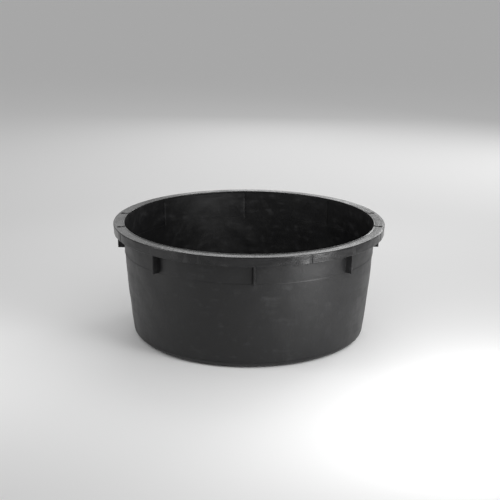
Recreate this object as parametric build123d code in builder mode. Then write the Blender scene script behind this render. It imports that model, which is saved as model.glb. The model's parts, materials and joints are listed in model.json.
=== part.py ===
"""Round mortar mixing tub, one black plastic moulding.

Millimetres. +Z is up, the tub stands on z = 0 and its axis is the Z axis. The front looks
towards -Y and the two hand grips are on the X axis. The moulding is divided at its own
feature boundaries: every solid here meets its neighbours face to face.
"""
import os
from math import atan, cos, pi, sin

from build123d import *

# --- driving dimensions -----------------------------------------------------------------
rim_radius = 325.0            # outer edge of the rim
rim_height = 273.5            # flat top of the rim above the ground
base_radius = 277.8           # wall's outer line carried down to the ground
wall_radius_at_skirt = 300.6  # wall's outer face level with the bottom of the skirt
wall_bow = 3.0                # how far the wall bulges beyond a straight cone, half-way up
wall_thickness = 3.2

foot_height = 2.5             # ring under the floor that the tub stands on
foot_width = 8.0
foot_setback = 1.5            # inward from where the heel's curve starts
foot_chamfer = 0.6
heel_radius = 14.0            # outer rounding between floor and wall

shoulder_height = 204.2       # stacking shoulder: above it the wall stands further out
shoulder_step = 0.8

flange_thickness = 4.0
lip_width = 4.3               # rounded inner edge of the rim
lip_rise = 1.0                # its crest above the flat of the rim

skirt_depth = 21.6
skirt_thickness = 3.1         # at the top
skirt_thinning = 0.3          # thinner by this much at the bottom
skirt_draft = 1.2             # the outer face draws in by this much on its way down
skirt_edge_radius = 2.2       # rounding between the rim's top and the skirt

gusset_thickness = 5.5
gusset_bottom = 205.5
gusset_outer_radius = 315.2   # below the skirt
gusset_draft = 1.2
gusset_step = 4.0             # height over which a gusset widens out to meet the skirt

rib_thickness = 3.0           # short ribs behind the skirt, half-way between the gussets
rib_setback = 2.5             # their lower edge is above the skirt's by this much

hole_radius = 5.0             # lashing holes through the rim, a pair at each grip
hole_circle_radius = 314.0
hole_offset_angle = 12.0      # each side of the X axis
channel_width = 6.0           # shallow channel from each hole to the inner edge
channel_depth = 1.6

overrun = 2.0                 # ribs are drawn into the curved walls, then trimmed to them

# The eight gussets, by the side of the tub they are on, and their angle about +Z from +X.
gussets = {
    "right": 0, "rear_right": 45, "rear": 90, "rear_left": 135,
    "left": 180, "front_left": 225, "front": 270, "front_right": 315,
}
rib_count = 8
first_rib_angle = 22.5


def wall_radius(height):
    """Outer radius of the tapered, slightly bowed wall, before the shoulder's step."""
    s = height / skirt_bottom
    taper = wall_radius_at_skirt - base_radius
    return base_radius + taper * s + 4 * wall_bow * s * (1 - s)


def wall_lean(height):
    """Angle of the wall from the vertical, in radians."""
    taper = wall_radius_at_skirt - base_radius
    return atan((taper + 4 * wall_bow * (1 - 2 * height / skirt_bottom)) / skirt_bottom)


def wall_point(height, step, depth=0):
    """Point of the profile: `step` moves the outer face outward, `depth` goes in from it."""
    return (wall_radius(height) + step - depth * cos(wall_lean(height)), height)


def heel_point(radius, angle):
    """Point of one of the heel's two arcs, its angle measured down from the horizontal."""
    return (heel_centre_radius + radius * cos(angle), heel_centre_height - radius * sin(angle))


# --- derived dimensions -----------------------------------------------------------------
skirt_bottom = rim_height - skirt_depth
flange_bottom = rim_height - flange_thickness
lip_top = rim_height + lip_rise
lower_step = -shoulder_step / 2
upper_step = shoulder_step / 2

heel_centre_height = foot_height + heel_radius
heel_inner_radius = heel_radius - wall_thickness
heel_lean = wall_lean(heel_centre_height)
heel_top = heel_centre_height - heel_radius * sin(heel_lean)
heel_centre_radius = wall_radius(heel_top) + lower_step - heel_radius * cos(heel_lean)
heel_middle = (pi / 2 + heel_lean) / 2

foot_radius = heel_centre_radius - foot_setback
lip_inner_radius = wall_point(flange_bottom, upper_step, wall_thickness)[0]
lip_outer_radius = lip_inner_radius + lip_width
skirt_inner_radius = rim_radius - skirt_thickness
skirt_bottom_radius = rim_radius - skirt_draft
channel_end = hole_circle_radius - hole_radius / 2

os.makedirs("parts", exist_ok=True)


def finish(builder, name):
    """Label one finished piece and write it."""
    builder.part.label = name
    export_step(builder.part, f"parts/{name}.step")


# --- floor, and the ring it stands on ---------------------------------------------------
with BuildPart() as floor_disc:
    with BuildSketch(Plane.XY.offset(foot_height)):
        Circle(heel_centre_radius)
    extrude(amount=wall_thickness)
finish(floor_disc, "floor_disc")

with BuildPart() as foot_ring:
    with BuildSketch():
        Circle(foot_radius)
        Circle(foot_radius - foot_width, mode=Mode.SUBTRACT)
    extrude(amount=foot_height)
    chamfer(foot_ring.edges().group_by(Axis.Z)[0], foot_chamfer)
finish(foot_ring, "foot_ring")

# --- rounded heel between floor and wall ------------------------------------------------
with BuildPart() as heel:
    with BuildSketch(Plane.XZ):
        with BuildLine():
            outside = ThreePointArc(
                heel_point(heel_radius, pi / 2),
                heel_point(heel_radius, heel_middle),
                heel_point(heel_radius, heel_lean),
            )
            inside = ThreePointArc(
                heel_point(heel_inner_radius, heel_lean),
                heel_point(heel_inner_radius, heel_middle),
                heel_point(heel_inner_radius, pi / 2),
            )
            Line(outside @ 1, inside @ 0)
            Line(inside @ 1, outside @ 0)
        make_face()
    revolve(axis=Axis.Z)
finish(heel, "heel")

# --- wall below the shoulder ------------------------------------------------------------
lower_middle = (heel_top + shoulder_height) / 2
with BuildPart() as lower_wall:
    with BuildSketch(Plane.XZ):
        with BuildLine():
            outside = ThreePointArc(
                heel_point(heel_radius, heel_lean),
                wall_point(lower_middle, lower_step),
                wall_point(shoulder_height, lower_step),
            )
            inside = ThreePointArc(
                wall_point(shoulder_height, lower_step, wall_thickness),
                wall_point(lower_middle, lower_step, wall_thickness),
                heel_point(heel_inner_radius, heel_lean),
            )
            Line(outside @ 1, inside @ 0)
            Line(inside @ 1, outside @ 0)
        make_face()
    revolve(axis=Axis.Z)
finish(lower_wall, "lower_wall")

# --- wall above the shoulder, up to the rim ---------------------------------------------
upper_middle = (shoulder_height + flange_bottom) / 2
with BuildPart() as upper_wall:
    with BuildSketch(Plane.XZ):
        with BuildLine():
            outside = ThreePointArc(
                wall_point(shoulder_height, upper_step),
                wall_point(upper_middle, upper_step),
                wall_point(flange_bottom, upper_step),
            )
            inside = ThreePointArc(
                wall_point(flange_bottom, upper_step, wall_thickness),
                wall_point(upper_middle, upper_step, wall_thickness),
                wall_point(shoulder_height, upper_step, wall_thickness),
            )
            Line(outside @ 1, inside @ 0)
            Line(inside @ 1, outside @ 0)
        make_face()
    revolve(axis=Axis.Z)
finish(upper_wall, "upper_wall")


def cut_channels(end_radius):
    """Shallow radial channels, from inside the lip out to a radius, cut from the top."""
    length = end_radius - lip_inner_radius + overrun
    with BuildSketch(Plane.XY.offset(rim_height - channel_depth)) as channels:
        for start in (-hole_offset_angle, hole_offset_angle):
            with PolarLocations(end_radius - length / 2, 2, start_angle=start):
                Rectangle(length, channel_width)
    return channels.sketch


# --- rim: rounded lip, flat flange, hanging skirt ---------------------------------------
with BuildPart() as inner_lip:
    with BuildSketch(Plane.XZ):
        with BuildLine():
            Polyline(
                (lip_outer_radius, rim_height),
                (lip_outer_radius, flange_bottom),
                (lip_inner_radius, flange_bottom),
                (lip_inner_radius, rim_height),
            )
            ThreePointArc(
                (lip_inner_radius, rim_height),
                ((lip_inner_radius + lip_outer_radius) / 2, lip_top),
                (lip_outer_radius, rim_height),
            )
        make_face()
    revolve(axis=Axis.Z)
    extrude(cut_channels(lip_outer_radius + overrun), amount=channel_depth + lip_rise,
            mode=Mode.SUBTRACT)
finish(inner_lip, "inner_lip")

with BuildPart() as rim_flange:
    with BuildSketch(Plane.XY.offset(flange_bottom)):
        Circle(skirt_inner_radius)
        Circle(lip_outer_radius, mode=Mode.SUBTRACT)
    extrude(amount=flange_thickness)
    extrude(cut_channels(channel_end), amount=channel_depth, mode=Mode.SUBTRACT)
    for start in (-hole_offset_angle, hole_offset_angle):
        with PolarLocations(hole_circle_radius, 2, start_angle=start):
            Hole(hole_radius)
finish(rim_flange, "rim_flange")

with BuildPart() as rim_skirt:
    with BuildSketch(Plane.XZ) as skirt_section:
        with BuildLine():
            Polyline(
                (skirt_inner_radius, rim_height),
                (rim_radius, rim_height),
                (skirt_bottom_radius, skirt_bottom),
                (skirt_bottom_radius - skirt_thickness + skirt_thinning, skirt_bottom),
                (skirt_inner_radius, flange_bottom),
                close=True,
            )
        make_face()
        fillet(skirt_section.vertices().sort_by(Axis.X)[-1], skirt_edge_radius)
    revolve(axis=Axis.Z)
finish(rim_skirt, "rim_skirt")

# --- gussets under the rim, from the wall out to the skirt ------------------------------
for place, angle in gussets.items():
    with BuildPart() as gusset:
        with BuildSketch(Plane.XZ.rotated((0, 0, angle))):
            with BuildLine():
                Polyline(
                    (wall_point(gusset_bottom, -overrun)[0], gusset_bottom),
                    (gusset_outer_radius, gusset_bottom),
                    (gusset_outer_radius + gusset_draft, skirt_bottom),
                    (skirt_inner_radius + overrun / 2, skirt_bottom + gusset_step),
                    (skirt_inner_radius + overrun / 2, flange_bottom),
                    (wall_point(flange_bottom, -overrun)[0], flange_bottom),
                    close=True,
                )
            make_face()
        extrude(amount=gusset_thickness / 2, both=True)
        add(upper_wall.part, mode=Mode.SUBTRACT)
        add(rim_skirt.part, mode=Mode.SUBTRACT)
    finish(gusset, f"gusset_{place}")

# --- short ribs behind the skirt --------------------------------------------------------
rib_bottom = skirt_bottom + rib_setback
for number in range(rib_count):
    with BuildPart() as rib:
        with BuildSketch(Plane.XZ.rotated((0, 0, first_rib_angle + number * 360 / rib_count))):
            with BuildLine():
                Polyline(
                    (wall_point(rib_bottom, -overrun)[0], rib_bottom),
                    (skirt_inner_radius + overrun / 2, rib_bottom),
                    (skirt_inner_radius + overrun / 2, flange_bottom),
                    (wall_point(rib_bottom, -overrun)[0], flange_bottom),
                    close=True,
                )
            make_face()
        extrude(amount=rib_thickness / 2, both=True)
        add(upper_wall.part, mode=Mode.SUBTRACT)
        add(rim_skirt.part, mode=Mode.SUBTRACT)
    finish(rib, f"skirt_rib_{number + 1}")
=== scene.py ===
"""Looks of the mortar mixing tub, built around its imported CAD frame. Metres, +Z up."""

import json
from math import asin, atan2, cos, hypot, pi, radians, sin

import bmesh
import bpy
import numpy as np
from mathutils import Matrix, Vector


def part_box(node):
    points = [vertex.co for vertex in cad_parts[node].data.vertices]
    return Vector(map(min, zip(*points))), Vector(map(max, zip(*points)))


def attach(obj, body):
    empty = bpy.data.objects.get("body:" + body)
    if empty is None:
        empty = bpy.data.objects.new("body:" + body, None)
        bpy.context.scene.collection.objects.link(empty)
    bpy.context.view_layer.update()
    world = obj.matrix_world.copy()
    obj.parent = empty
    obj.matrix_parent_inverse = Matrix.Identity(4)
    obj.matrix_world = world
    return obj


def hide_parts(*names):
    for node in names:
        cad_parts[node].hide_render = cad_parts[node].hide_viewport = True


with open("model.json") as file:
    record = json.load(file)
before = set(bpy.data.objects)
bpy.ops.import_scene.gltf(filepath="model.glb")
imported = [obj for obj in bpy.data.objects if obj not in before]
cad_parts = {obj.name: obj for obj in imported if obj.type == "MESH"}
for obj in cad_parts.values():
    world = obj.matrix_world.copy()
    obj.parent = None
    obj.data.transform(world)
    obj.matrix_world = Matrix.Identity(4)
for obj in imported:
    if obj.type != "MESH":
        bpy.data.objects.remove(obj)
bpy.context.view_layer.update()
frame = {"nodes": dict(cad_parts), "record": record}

MM = 0.001


def ring(node):
    """Outer radius, lowest and highest point of a CAD node that goes round the axis."""
    low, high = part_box(node)
    return high[0], low[2], high[2]


def bearing(node):
    """Angle about Z, from +X, of the middle of a CAD node."""
    low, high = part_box(node)
    return atan2(low[1] + high[1], low[0] + high[0])


# --- sizes, read from the frame or named here -------------------------------------------
floor_radius, floor_under, floor_top = ring("floor_disc")
foot_radius, ground, foot_top = ring("foot_ring")
heel_top_radius, _, heel_top = ring("heel")
shoulder_radius, _, shoulder = ring("lower_wall")
wall_top_radius, _, flange_under = ring("upper_wall")
lip_radius, lip_low, lip_crest = ring("inner_lip")
flange_radius, flange_low, rim_top = ring("rim_flange")
rim_radius, skirt_low, skirt_top = ring("rim_skirt")

gussets = [n for n in frame["nodes"] if n.startswith("gusset_")]
ribs = [n for n in frame["nodes"] if n.startswith("skirt_rib_")]
holes = [m for m in frame["record"]["mounts"] if m["kind"] == "bore"]

wall_thickness = floor_top - floor_under
shoulder_step = 0.8 * MM
shoulder_bead = 0.55 * MM
bead_height = 1.5 * MM
heel_radius = 14 * MM
heel_height = floor_under + heel_radius
foot_width = 8 * MM
skirt_thickness = 3.1 * MM
skirt_bottom_radius = rim_radius - 1.07 * MM
skirt_edge = 2.4 * MM
gusset_thickness = 5.5 * MM
gusset_outer = 315.2 * MM
gusset_draft = 1.2 * MM
rib_thickness = 3 * MM
channel_width = 6 * MM
channel_depth = 1.6 * MM

# Depth and half-width of the sink marks that a gusset or rib leaves on the far side.
gusset_sink_inside, gusset_sink_inside_width = 0.9 * MM, 2.6 * MM
gusset_sink_skirt, gusset_sink_skirt_width = 0.30 * MM, 3.0 * MM
rib_sink_skirt, rib_sink_skirt_width = 0.90 * MM, 3.4 * MM

# The outer face's line, before the shoulder's step: a parabola through three known rings.
half_step = shoulder_step / 2
wall_curve = np.polyfit(
    (heel_top, shoulder, flange_under),
    (heel_top_radius + half_step, shoulder_radius + half_step, wall_top_radius - half_step),
    2,
)
lip_inner = np.polyval(wall_curve, flange_under) + half_step - wall_thickness


def wall_face(height, step, depth=0.0):
    """Radius of the wall at a height: `step` moves it outward, `depth` goes in from its face."""
    return np.polyval(wall_curve, height) + step - depth


# --- small departures from the ideal shape ----------------------------------------------
random = np.random.default_rng(11)
gusset_bearings = [bearing(n) for n in gussets]
rib_bearings = [bearing(n) for n in ribs]
hole_bearings = [atan2(m["pos_m"][1], m["pos_m"][0]) for m in holes]
hole_circle = hypot(*holes[0]["pos_m"][:2])
hole_radius = holes[0]["dims"]["r_mm"] * MM


def waves(count, harmonics, pitches, size):
    """Seeded sine waves over bearing and height: (harmonic, pitch, phase, amplitude) rows."""
    harmonic = random.integers(harmonics[0], harmonics[1] + 1, count)
    pitch = random.uniform(pitches[0], pitches[1], count) * random.choice((-1, 1), count)
    phase = random.uniform(0, 2 * pi, count)
    amplitude = size * random.uniform(0.4, 1.0, count) / np.sqrt(count)
    return np.stack((harmonic, pitch, phase, amplitude), axis=1)


def swell(table, bearing_angle, along):
    """Sum of the waves of a table at a bearing and a distance along the profile."""
    total = 0.0
    for harmonic, pitch, phase, amplitude in table:
        total = total + amplitude * np.sin(harmonic * bearing_angle + pitch * along + phase)
    return total


def mark(bearing_angle, places, radius, width):
    """1 on each of some bearings and 0 away from them, over a width in metres."""
    total = 0.0
    for place in places:
        away = (bearing_angle - place + pi) % (2 * pi) - pi
        total = total + np.exp(-((away * radius / width) ** 2))
    return total


def ramp(value, low, high):
    """Smooth step from 0 at low to 1 at high."""
    t = np.clip((value - low) / (high - low), 0, 1)
    return t * t * (3 - 2 * t)


wall_waves = waves(22, (2, 30), (8, 110), 0.40 * MM)
skirt_waves = waves(16, (14, 70), (20, 260), 0.24 * MM)
rim_waves = waves(14, (3, 40), (60, 500), 0.12 * MM)


def warp_wall(radius, height, angle):
    """Slow swelling of the wall, with sink marks inside where the gussets stand outside."""
    fade = ramp(height, floor_top, 0.06) * ramp(rim_top - height, 0.0, 0.03)
    moved = fade * swell(wall_waves, angle, height)
    inside = radius < wall_face(height, 0, wall_thickness / 2)
    above = ramp(height, shoulder - 3 * MM, shoulder + 6 * MM) * ramp(rim_top - height, 2 * MM, 9 * MM)
    sink = above * mark(angle, gusset_bearings, lip_inner, gusset_sink_inside_width)
    return radius + moved + inside * gusset_sink_inside * sink, height + 0 * angle


def warp_skirt(radius, height, angle):
    """Uneven cooling of the skirt: it only draws inward from its outer size."""
    outside = ramp(radius, rim_radius - 2.6 * MM, rim_radius - 1.4 * MM)
    uneven = swell(skirt_waves, angle, height) - 0.18 * MM
    sink = mark(angle, rib_bearings, rim_radius, rib_sink_skirt_width) * rib_sink_skirt
    sink = sink + mark(angle, gusset_bearings, rim_radius, gusset_sink_skirt_width) * gusset_sink_skirt
    below = ramp(rim_top - height, 0.3 * MM, 3 * MM)
    drop = np.minimum(swell(rim_waves, angle, radius) - 0.06 * MM, 0)
    drop = drop * ramp(height, rim_top - 2 * MM, rim_top)
    return radius + outside * below * (uneven - sink), height + drop


def channels(radius, height, angle):
    """Heights of the rim's top once the channels to the holes are pressed into it."""
    bottom = rim_top - channel_depth
    for place in hole_bearings:
        away = abs((angle - place + pi) % (2 * pi) - pi) * radius
        across = ramp(channel_width / 2 + 0.9 * MM - away, 0, 1.8 * MM)
        along = ramp(hole_circle + 1 * MM - radius, 0, 2 * MM)
        height = height - across * along * np.maximum(height - bottom, 0)
    return height


def warp_rim(radius, height, angle):
    """Shallow dips in the flat of the rim, and over the ribs and gussets under it."""
    top = ramp(height, rim_top - 2 * MM, rim_top - 0.5 * MM)
    dip = np.minimum(swell(rim_waves, angle, radius) - 0.06 * MM, 0)
    over = mark(angle, gusset_bearings, radius, 3.5 * MM) + mark(angle, rib_bearings, radius, 2.5 * MM)
    middle = ramp(radius, lip_radius, lip_radius + 3 * MM) * ramp(flange_radius - radius, 0, 3 * MM)
    raised = height + top * (dip - middle * (0.22 * MM + 0.12 * MM * over))
    return radius + 0 * angle, channels(radius, raised, angle)


def warp_lip(radius, height, angle):
    """The lip follows the wall's swelling, and each channel runs through it."""
    moved, raised = warp_wall(radius, height, angle)
    return moved, channels(moved, raised, angle)


# --- mesh tools -------------------------------------------------------------------------
def turn_columns():
    """Bearings of the mesh columns: even, with more of them across sink marks and channels."""
    even = np.linspace(0, 2 * pi, 480, endpoint=False)
    offsets = radians(1) * np.array((-0.9, -0.6, -0.45, -0.3, -0.15, 0, 0.15, 0.3, 0.45, 0.6, 0.9))
    extra = [place + offset for place in gusset_bearings + rib_bearings for offset in offsets]
    side = (channel_width / 2 + np.linspace(-1.0, 1.0, 11) * MM) / hole_circle
    offsets = np.concatenate((-side, side, (-0.2 * side[0], 0.2 * side[0])))
    extra += [place + offset for place in hole_bearings for offset in offsets]
    columns = np.sort(np.mod(np.concatenate((even, extra)), 2 * pi))
    apart = np.diff(columns, append=columns[0] + 2 * pi) > radians(0.012)
    return columns[apart]


COLUMNS = turn_columns()


def rounded(corners, steps=5):
    """Closed outline from (radius, height, rounding) corners, the roundings drawn as arcs."""
    points = []
    for i, (x, y, size) in enumerate(corners):
        here = np.array((x, y))
        if not size:
            points.append(here)
            continue
        back = np.array(corners[i - 1][:2]) - here
        ahead = np.array(corners[(i + 1) % len(corners)][:2]) - here
        back_length, ahead_length = np.linalg.norm(back), np.linalg.norm(ahead)
        back, ahead = back / back_length, ahead / ahead_length
        half = asin(np.linalg.norm(ahead - back) / 2)
        tangent = size * cos(half) / sin(half)
        start, end = here + back * tangent, here + ahead * tangent
        middle = here + (back + ahead) / np.linalg.norm(back + ahead) * size / sin(half)
        a, b = start - middle, end - middle
        sweep = pi - 2 * half
        points.append(start + back * min(size, back_length - tangent) / 2)
        for k in range(steps + 1):
            t = k / steps
            points.append(middle + (a * sin((1 - t) * sweep) + b * sin(t * sweep)) / sin(sweep))
        points.append(end + ahead * min(size, ahead_length - tangent) / 2)
    return np.array(points)


def densified(points, spacing):
    """The same closed outline with no gap between points longer than the spacing."""
    result = []
    for a, b in zip(points, np.roll(points, -1, axis=0)):
        count = max(1, int(np.ceil(np.linalg.norm(b - a) / spacing)))
        result += [a + (b - a) * k / count for k in range(count)]
    return np.array(result)


def finished(mesh_object, material, replaced):
    """Shades a piece smooth between its edges, gives it its material and hands it to the frame."""
    mesh = mesh_object.data
    mesh.shade_smooth()
    mesh.set_sharp_from_angle(angle=radians(35))
    mesh.materials.clear()
    mesh.materials.append(material)
    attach(mesh_object, "root")
    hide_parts(*replaced)
    return mesh_object


def new_object(name, vertices, faces):
    """A mesh object from points and faces, its faces turned outward."""
    mesh = bpy.data.meshes.new(name)
    mesh.from_pydata(vertices, [], faces)
    work = bmesh.new()
    work.from_mesh(mesh)
    bmesh.ops.recalc_face_normals(work, faces=work.faces)
    if work.calc_volume(signed=True) < 0:
        bmesh.ops.reverse_faces(work, faces=work.faces)
    work.to_mesh(mesh)
    work.free()
    piece = bpy.data.objects.new(name, mesh)
    bpy.context.scene.collection.objects.link(piece)
    return piece


def turned(name, outline, warp, capped=False):
    """A closed ring: an outline of (radius, height) points turned about the tub's axis.

    Where it is `capped`, the first and the last circle are filled in, which makes a disc.
    """
    rows, columns = len(outline), len(COLUMNS)
    radius, height = warp(outline[:, :1], outline[:, 1:], COLUMNS[None, :])
    x, y = radius * np.cos(COLUMNS), radius * np.sin(COLUMNS)
    z = np.broadcast_to(height, x.shape)
    vertices = np.stack((x, y, z), axis=-1).reshape(-1, 3)
    i, j = np.meshgrid(np.arange(rows - capped), np.arange(columns), indexing="ij")
    i2, j2 = (i + 1) % rows, (j + 1) % columns
    faces = np.stack((i * columns + j, i * columns + j2, i2 * columns + j2, i2 * columns + j), axis=-1)
    faces = faces.reshape(-1, 4).tolist()
    if capped:
        faces += [list(range(columns)), list(range((rows - 1) * columns, rows * columns))]
    return new_object(name, vertices.tolist(), faces)


def cut(piece, cutter):
    """Cuts one closed mesh out of another, exactly, and removes the cutter."""
    tool = piece.modifiers.new("cut", "BOOLEAN")
    tool.operation, tool.solver, tool.object = "DIFFERENCE", "MANIFOLD", cutter
    graph = bpy.context.evaluated_depsgraph_get()
    result = bpy.data.meshes.new_from_object(piece.evaluated_get(graph))
    piece.modifiers.clear()
    piece.data = result
    bpy.data.objects.remove(cutter)


# --- materials --------------------------------------------------------------------------
class Nodes:
    """Short calls for building one material's node tree."""

    def __init__(self, name):
        self.material = bpy.data.materials.new(name)
        self.material.use_nodes = True
        self.tree = self.material.node_tree
        self.tree.nodes.clear()
        self.shader = self.add("ShaderNodeBsdfPrincipled")
        output = self.add("ShaderNodeOutputMaterial")
        self.link(self.shader.outputs[0], output.inputs["Surface"])
        position = self.add("ShaderNodeTexCoord").outputs["Object"]
        self.position = position
        split = self.add("ShaderNodeSeparateXYZ")
        self.link(position, split.inputs[0])
        self.height = split.outputs["Z"]
        flat = self.add("ShaderNodeCombineXYZ")
        self.link(split.outputs["X"], flat.inputs["X"])
        self.link(split.outputs["Y"], flat.inputs["Y"])
        length = self.add("ShaderNodeVectorMath", operation="LENGTH")
        self.link(flat.outputs[0], length.inputs[0])
        self.radius = length.outputs["Value"]
        unit = self.add("ShaderNodeVectorMath", operation="NORMALIZE")
        self.link(flat.outputs[0], unit.inputs[0])
        self.direction = unit.outputs[0]

    def add(self, kind, **settings):
        node = self.tree.nodes.new(kind)
        for key, value in settings.items():
            setattr(node, key, value)
        return node

    def link(self, source, target):
        self.tree.links.new(source, target)

    def feed(self, socket, value):
        """Links an output to a socket, or sets the socket to a number."""
        if isinstance(value, bpy.types.NodeSocket):
            self.link(value, socket)
        else:
            socket.default_value = value

    def math(self, operation, first, second=0.0):
        node = self.add("ShaderNodeMath", operation=operation)
        self.feed(node.inputs[0], first)
        self.feed(node.inputs[1], second)
        return node.outputs[0]

    def scaled(self, vector, factors):
        node = self.add("ShaderNodeVectorMath", operation="MULTIPLY")
        self.link(vector, node.inputs[0])
        node.inputs[1].default_value = factors
        return node.outputs[0]

    def around(self, turn, radial, vertical):
        """Coordinates that run slowly round the tub and fast across it: seamless streaks."""
        across = self.add("ShaderNodeCombineXYZ")
        self.link(self.math("MULTIPLY", self.radius, radial), across.inputs["Z"])
        lifted = self.add("ShaderNodeVectorMath", operation="ADD")
        self.link(self.scaled(self.direction, (turn, turn, 0)), lifted.inputs[0])
        self.link(across.outputs[0], lifted.inputs[1])
        if vertical:
            up = self.add("ShaderNodeCombineXYZ")
            self.link(self.math("MULTIPLY", self.height, vertical), up.inputs["Z"])
            both = self.add("ShaderNodeVectorMath", operation="ADD")
            self.link(lifted.outputs[0], both.inputs[0])
            self.link(up.outputs[0], both.inputs[1])
            return both.outputs[0]
        return lifted.outputs[0]

    def noise(self, vector, scale, detail=2.0, roughness=0.5, distortion=0.0):
        node = self.add("ShaderNodeTexNoise")
        self.link(vector, node.inputs["Vector"])
        node.inputs["Scale"].default_value = scale
        node.inputs["Detail"].default_value = detail
        node.inputs["Roughness"].default_value = roughness
        node.inputs["Distortion"].default_value = distortion
        return node.outputs["Fac"]

    def remap(self, value, low, high, to_low=0.0, to_high=1.0):
        node = self.add("ShaderNodeMapRange")
        self.link(value, node.inputs["Value"])
        node.inputs["From Min"].default_value = low
        node.inputs["From Max"].default_value = high
        node.inputs["To Min"].default_value = to_low
        node.inputs["To Max"].default_value = to_high
        return node.outputs["Result"]

    def blend(self, factor, dark, light):
        node = self.add("ShaderNodeMix", data_type="RGBA")
        self.feed(node.inputs["Factor"], factor)
        node.inputs["A"].default_value = (*dark, 1)
        node.inputs["B"].default_value = (*light, 1)
        return node.outputs["Result"]

    def bump(self, height, distance, strength=1.0, before=None):
        node = self.add("ShaderNodeBump")
        self.link(height, node.inputs["Height"])
        node.inputs["Distance"].default_value = distance
        node.inputs["Strength"].default_value = strength
        if before:
            self.link(before, node.inputs["Normal"])
        return node.outputs["Normal"]


MATT_ROUGHNESS = 0.9


def moulded_plastic(name, tone, worn, rough, shine, streak, streak_depth, dent, dent_depth, matt):
    """Black recycled polyethylene as it leaves the mould, lightly handled since.

    `rough` is the roughness of its glossiest and dullest places; `streak` and `dent` are
    (turn, radial, vertical) rates of two patterns that run round the tub. Inside the radius
    and below the height of `matt` the mould was left unpolished, so the plastic is dull.
    """
    n = Nodes(name)
    cloud = n.noise(n.position, 9.0, 4.0, 0.6)
    patch = n.noise(n.position, 46.0, 3.0, 0.55)
    streaks = n.noise(n.around(*streak), 1.0, 3.0, 0.65)
    dents = n.noise(n.around(*dent), 1.0, 2.0, 0.5, 0.6)
    fine = n.noise(n.position, 900.0, 2.0, 0.6)
    hairs = n.noise(n.scaled(n.position, (620.0, 540.0, 34.0)), 1.0, 1.0, 0.4)
    hair = n.math("MULTIPLY", n.remap(hairs, 0.70, 0.80), n.remap(cloud, 0.45, 0.60))
    rubbed = n.math("MULTIPLY", n.remap(patch, 0.50, 0.70), n.remap(streaks, 0.45, 0.66))
    wear = n.math("MAXIMUM", rubbed, hair)
    n.link(n.blend(wear, tone, worn), n.shader.inputs["Base Color"])
    mixed = n.math("ADD", n.math("MULTIPLY", cloud, 0.40), n.math("MULTIPLY", streaks, 0.35))
    mixed = n.math("ADD", mixed, n.math("MULTIPLY", patch, 0.25))
    dull = n.remap(mixed, 0.38, 0.62, *rough)
    dull = n.math("ADD", dull, n.math("MULTIPLY", wear, 0.12))
    if matt:
        within = n.remap(n.radius, matt[0] - 0.3 * MM, matt[0] + 0.3 * MM, MATT_ROUGHNESS, 0)
        below = n.remap(n.height, matt[1] - 0.3 * MM, matt[1] + 0.3 * MM, 1, 0)
        dull = n.math("MAXIMUM", dull, n.math("MULTIPLY", within, below))
    n.link(dull, n.shader.inputs["Roughness"])
    normal = n.bump(streaks, streak_depth)
    normal = n.bump(dents, dent_depth, 1.0, normal)
    normal = n.bump(patch, 0.24 * MM, 1.0, normal)
    normal = n.bump(fine, 0.05 * MM, 0.6, normal)
    n.link(normal, n.shader.inputs["Normal"])
    n.shader.inputs["IOR"].default_value = 1.46
    n.shader.inputs["Specular IOR Level"].default_value = shine
    return n.material


outside_plastic = moulded_plastic(
    "tub_outside", (0.0070, 0.0070, 0.0075), (0.024, 0.024, 0.025), (0.36, 0.50), 0.5,
    (3.0, 0.0, 60.0), 0.12 * MM, (9.0, 0.0, 26.0), 0.8 * MM, None)
inside_plastic = moulded_plastic(
    "tub_inside", (0.0070, 0.0070, 0.0072), (0.020, 0.020, 0.021), (0.36, 0.54), 0.5,
    (4.0, 0.0, 45.0), 0.12 * MM, (7.0, 12.0, 18.0), 0.6 * MM, None)
rim_plastic = moulded_plastic(
    "tub_rim", (0.0070, 0.0070, 0.0075), (0.030, 0.030, 0.031), (0.14, 0.32), 0.5,
    (5.0, 420.0, 0.0), 0.40 * MM, (14.0, 90.0, 150.0), 0.35 * MM,
    (flange_radius - 2 * MM, rim_top - channel_depth - 0.4 * MM))
gusset_plastic = moulded_plastic(
    "tub_gussets", (0.0070, 0.0070, 0.0075), (0.024, 0.024, 0.025), (0.36, 0.50), 0.45,
    (3.0, 0.0, 60.0), 0.12 * MM, (9.0, 0.0, 26.0), 0.5 * MM, (gusset_outer - 0.6 * MM, rim_top))


# --- pieces of the moulding -------------------------------------------------------------
def piece(name, outline, warp, material, spacing):
    """One turned piece that stands for the CAD node of the same name."""
    made = turned(name + "_moulding", densified(outline, spacing), warp)
    return finished(made, material, [name])


def wall_line(low, high, step, depth, count=30):
    """Points of the wall's outer or inner face from one height to another."""
    heights = np.linspace(low, high, count)
    return np.stack((wall_face(heights, step, depth), heights), axis=1)


heel_lean = atan2(np.polyval(np.polyder(wall_curve), heel_height), 1.0)


def heel_arc(radius, start, end, count=14):
    """Points of a heel arc; angles are measured down from the horizontal."""
    angles = np.linspace(start, end, count)
    return np.stack((floor_radius + radius * np.cos(angles), heel_height - radius * np.sin(angles)), axis=1)


def no_warp(radius, height, angle):
    return radius + 0 * angle, height + 0 * angle


# Foot ring: a plain ring with eased lower edges.
foot = rounded([
    (foot_radius - foot_width, ground, 0.6 * MM), (foot_radius, ground, 0.6 * MM),
    (foot_radius, foot_top, 0), (foot_radius - foot_width, foot_top, 0),
])
piece("foot_ring", foot, no_warp, outside_plastic, 4 * MM)

# Heel: two arcs on one centre.
outer_arc = heel_arc(heel_radius, pi / 2, heel_lean)
inner_arc = heel_arc(heel_radius - wall_thickness, heel_lean, pi / 2)
piece("heel", np.concatenate((outer_arc, inner_arc)), warp_wall, outside_plastic, 3 * MM)

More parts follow.
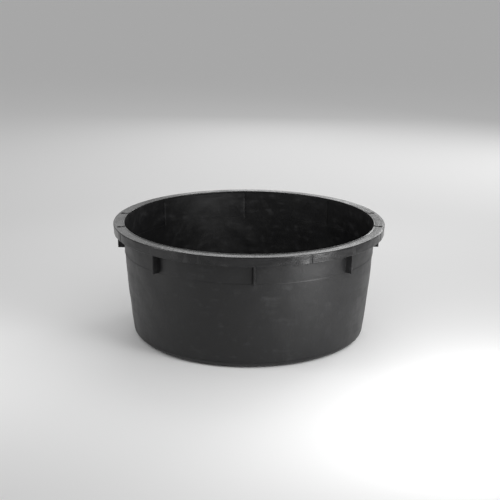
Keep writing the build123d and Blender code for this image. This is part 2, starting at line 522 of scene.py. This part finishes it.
# Wall below the shoulder. Inside, its top edge shows as a narrow ledge.
outer_face = wall_line(heel_top, shoulder, -half_step, 0)
ledge = [(wall_face(shoulder, -half_step, wall_thickness), shoulder)]
inner_face = wall_line(shoulder - 1 * MM, heel_top + 0.4 * MM, -half_step, wall_thickness)
lower = np.concatenate((outer_face, ledge, inner_face))
piece("lower_wall", lower, warp_wall, outside_plastic, 6 * MM)

# Wall above the shoulder. Outside, its bottom edge stands out over the wall below as a bead.
bead = wall_line(shoulder, shoulder + 6 * MM, half_step, 0, 16)
bead[:, 0] += shoulder_bead * np.exp(-(((bead[:, 1] - shoulder) / bead_height) ** 2))
outer_face = wall_line(shoulder + 8 * MM, flange_under, half_step, 0, 12)
inner_face = wall_line(flange_under, shoulder, half_step, wall_thickness, 14)
upper = np.concatenate((bead, outer_face, inner_face))
piece("upper_wall", upper, warp_wall, outside_plastic, 6 * MM)

# Rounded inner lip of the rim.
def lip_outline():
    """The lip's closed outline: steep on the inside, easing down to the flat of the rim."""
    across = np.linspace(0, 1, 22) ** 1.4
    crest = 0.42
    roundness = 2.3
    crest_drop = 1.9 * MM
    inward = np.clip(1 - across / crest, 0, 1)
    outward = np.clip((across - crest) / (1 - crest), 0, 1)
    round_in = (1 - inward ** roundness) ** (1 / roundness) - 1
    height = lip_crest + round_in * crest_drop * (across < crest)
    height = height - (lip_crest - rim_top) * 0.5 * (1 - np.cos(pi * outward)) * (across >= crest)
    top = np.stack((lip_inner + (lip_radius - lip_inner) * across, height), axis=1)
    return np.concatenate(([(lip_radius, lip_low), (lip_inner, lip_low)], top))


lip = turned("inner_lip_moulding", densified(lip_outline(), 2 * MM), warp_lip)

# Flat of the rim.
flange_outline = np.array([
    (lip_radius, flange_low), (lip_radius, rim_top), (flange_radius, rim_top), (flange_radius, flange_low),
])
flange = turned("rim_flange_moulding", densified(flange_outline[::-1], 1.6 * MM), warp_rim)

# Skirt: rounded into the rim's top, eased at its lower edge.
skirt = rounded([
    (flange_radius, skirt_top, 0), (rim_radius, skirt_top, skirt_edge),
    (skirt_bottom_radius, skirt_low, 0.7 * MM),
    (skirt_bottom_radius - skirt_thickness + 0.3 * MM, skirt_low, 0.5 * MM),
    (flange_radius, flange_low, 0),
])
piece("rim_skirt", skirt, warp_skirt, rim_plastic, 2 * MM)

# Floor: a flat disc.
hub_radius = 20 * MM
radii = np.linspace(hub_radius, floor_radius, 20)
underside = np.stack((radii, np.full_like(radii, floor_under)), axis=1)
topside = np.stack((radii[::-1], np.full_like(radii, floor_top)), axis=1)
disc = turned("floor_disc_moulding", np.concatenate((underside, topside)), no_warp, capped=True)
finished(disc, inside_plastic, ["floor_disc"])


def drills(outline, count=40):
    """One mesh with a closed turned cutter on each hole's axis."""
    vertices, faces = [], []
    rows = len(outline)
    for place in hole_bearings:
        first = len(vertices)
        x, y = hole_circle * cos(place), hole_circle * sin(place)
        for radius, height in outline:
            for turn in np.linspace(0, 2 * pi, count, endpoint=False):
                vertices.append((x + radius * cos(turn), y + radius * sin(turn), height))
        for row in range(rows - 1):
            start = first + row * count
            for k in range(count):
                k2 = (k + 1) % count
                faces.append((start + k, start + k2, start + count + k2, start + count + k))
        faces.append(tuple(range(first + count - 1, first - 1, -1)))
        faces.append(tuple(range(first + (rows - 1) * count, first + rows * count)))
    return new_object("drills", vertices, faces)


# The drill's profile: straight, then widening into the hole's eased mouth.
drill = [
    (hole_radius, flange_low - 2 * MM), (hole_radius, rim_top - 1.3 * MM),
    (hole_radius + 0.3 * MM, rim_top - 0.9 * MM), (hole_radius + 0.8 * MM, rim_top - 0.4 * MM),
    (hole_radius + 1.0 * MM, rim_top + 0.6 * MM),
]
cut(flange, drills(drill))
finished(lip, rim_plastic, ["inner_lip"])
finished(flange, rim_plastic, ["rim_flange"])


# How far a plate's root reaches into the wall that it grows from.
PLATE_ROOT = 0.8 * MM


def plate(name, turn, levels, root_half, tip_half, flare, tip_round, material, node):
    """An upright radial plate, as a stack of outlines: (height, root, tip, shrink) levels.

    It flares where it grows out of the wall, thins towards its tip and has a rounded edge.
    """
    rows = []
    for height, root, tip, shrink in levels:
        half_root, half_tip = root_half - shrink, tip_half - shrink
        edge = min(tip_round, half_tip * 0.9)
        end = tip - shrink
        side = [(root + flare - flare * cos(a), half_root + flare - flare * sin(a))
                for a in np.linspace(0, pi / 2, 6)]
        side += [(end - edge + edge * sin(a), half_tip - edge + edge * cos(a))
                 for a in np.linspace(0, pi / 2, 5)]
        loop = [(x, y, height) for x, y in side] + [(x, -y, height) for x, y in reversed(side)]
        buried = [(root - PLATE_ROOT, y, height) for y in (side[0][1], -side[0][1])]
        rows.append([buried[0]] + loop + [buried[1]])
    count = len(rows[0])
    vertices = [point for row in rows for point in row]
    faces = []
    for i in range(len(rows) - 1):
        for k in range(count):
            k2 = (k + 1) % count
            faces.append((i * count + k, i * count + k2, (i + 1) * count + k2, (i + 1) * count + k))
    faces.append(tuple(range(count)))
    faces.append(tuple((len(rows) - 1) * count + k for k in range(count)))
    made = new_object(name, vertices, faces)
    made.data.transform(Matrix.Rotation(turn, 4, "Z"))
    return finished(made, material, [node])


def plate_levels(bottom, top, tip_at):
    """Levels of a plate from its eased lower edge up into the underside of the rim."""
    ease = 0.7 * MM
    lowest = [(bottom + ease * (1 - cos(a)), ease * (1 - sin(a))) for a in np.linspace(0, pi / 2, 5)]
    heights = lowest + [(z, 0.0) for z in np.linspace(bottom + 2 * MM, top, 26)]
    return [(z, wall_face(z, half_step), tip_at(z), shrink) for z, shrink in heights]


def rib_tip(height):
    """Where a rib or gusset ends inside the skirt, a little further in towards its lower edge."""
    return rim_radius - skirt_thickness + 0.4 * MM - 0.9 * MM * ramp(-height, -flange_low, -skirt_low)


def gusset_tip(height):
    """A gusset's outer edge: nearly upright, then widening to meet the skirt."""
    drafted = gusset_outer + gusset_draft * (height - gusset_low) / (skirt_low - gusset_low)
    met = rib_tip(height)
    return drafted + (met - drafted) * ramp(height, skirt_low + 0.5 * MM, skirt_low + 5 * MM)


for node in gussets:
    gusset_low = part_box(node)[0][2]
    levels = plate_levels(gusset_low, flange_low + 0.4 * MM, gusset_tip)
    plate(node + "_moulding", bearing(node), levels, gusset_thickness / 2, gusset_thickness / 2 - 0.8 * MM,
          2.0 * MM, 0.7 * MM, gusset_plastic, node)


for node in ribs:
    levels = plate_levels(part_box(node)[0][2], flange_low + 0.4 * MM, rib_tip)
    plate(node + "_moulding", bearing(node), levels, rib_thickness / 2, rib_thickness / 2,
          1.0 * MM, 0.3 * MM, gusset_plastic, node)


# --- floor, light and camera ------------------------------------------------------------
def studio_floor():
    """A plain pale floor."""
    mesh = bpy.data.meshes.new("studio_floor")
    half = 40.0
    corners = [(-half, -half, 0), (half, -half, 0), (half, half, 0), (-half, half, 0)]
    mesh.from_pydata(corners, [], [(0, 1, 2, 3)])
    floor = bpy.data.objects.new("studio_floor", mesh)
    bpy.context.scene.collection.objects.link(floor)
    material = bpy.data.materials.new("studio_floor")
    material.use_nodes = True
    shader = material.node_tree.nodes["Principled BSDF"]
    shader.inputs["Base Color"].default_value = (0.85, 0.85, 0.85, 1)
    shader.inputs["Roughness"].default_value = 0.9
    mesh.materials.append(material)


def softbox(name, azimuth, elevation, width, height, strength, distance=3.0):
    """A soft rectangular light aimed at the tub; azimuth 0 is the front, 90 the right."""
    a, e = radians(azimuth), radians(elevation)
    aim = Vector((0, 0, rim_top / 2))
    place = aim + distance * Vector((sin(a) * cos(e), -cos(a) * cos(e), sin(e)))
    lamp = bpy.data.lights.new(name, "AREA")
    lamp.shape, lamp.size, lamp.size_y = "RECTANGLE", width, height
    lamp.energy = strength * width * height * pi
    box = bpy.data.objects.new(name, lamp)
    box.location = place
    box.rotation_euler = (place - aim).to_track_quat("Z", "Y").to_euler()
    box.visible_camera = False
    bpy.context.scene.collection.objects.link(box)


studio_floor()
softbox("rim_light_right", 140, 20, 0.8, 0.6, 7.2)
softbox("overhead_back", 180, 50, 1.4, 1.4, 1.6)
softbox("overhead_right", 135, 50, 1.4, 1.4, 0.5)
softbox("key_low", 45, 8.5, 0.35, 0.5, 7.2, 0.95)
softbox("key_high", 30, 30, 0.3, 0.3, 11.0, 1.1)
softbox("fill_left", -70, 30, 0.3, 0.3, 4.5, 1.1)
softbox("fill_left_low", -66, 8.5, 0.5, 0.5, 0.6, 0.95)
softbox("back", 176, 17, 0.9, 0.8, 1.5)
softbox("back_right", 150, 30, 0.5, 0.5, 0.6, 1.1)
softbox("back_left", -150, 30, 0.5, 0.5, 0.5, 1.1)

world = bpy.data.worlds.new("studio")
bpy.context.scene.world = world
world.use_nodes = True
world.node_tree.nodes["Background"].inputs["Color"].default_value = (1, 1, 1, 1)
world.node_tree.nodes["Background"].inputs["Strength"].default_value = 0.45

camera_data = bpy.data.cameras.new("camera")
camera_data.sensor_width = 36
camera_data.lens = 82.03
camera_data.clip_end = 200
camera = bpy.data.objects.new("camera", camera_data)
bpy.context.scene.collection.objects.link(camera)
bpy.context.scene.camera = camera


def aim_camera(azimuth, elevation, distance, roll, sideways, height):
    """Stands the camera round the tub; the target is off the axis by `sideways`, to its right."""
    a, e = radians(azimuth), radians(elevation)
    right = Vector((cos(a), sin(a), 0))
    back = Vector((sin(a) * cos(e), -cos(a) * cos(e), sin(e)))
    up = back.cross(right)
    tilted_right = cos(roll) * right + sin(roll) * up
    tilted_up = cos(roll) * up - sin(roll) * right
    place = right * sideways + Vector((0, 0, height)) + back * distance
    axes = Matrix((tilted_right, tilted_up, back)).transposed()
    camera.matrix_world = Matrix.LocRotScale(place, axes, (1, 1, 1))


# The camera's place is set out in units of the rim's outer radius.
NOMINAL_RADIUS = 0.325
aim_camera(
    azimuth=-2.3, elevation=16.02, distance=8.5 * NOMINAL_RADIUS, roll=radians(0.528),
    sideways=0.0088 * NOMINAL_RADIUS, height=0.6077 * NOMINAL_RADIUS)
bpy.context.scene.view_settings.view_transform = "Standard"
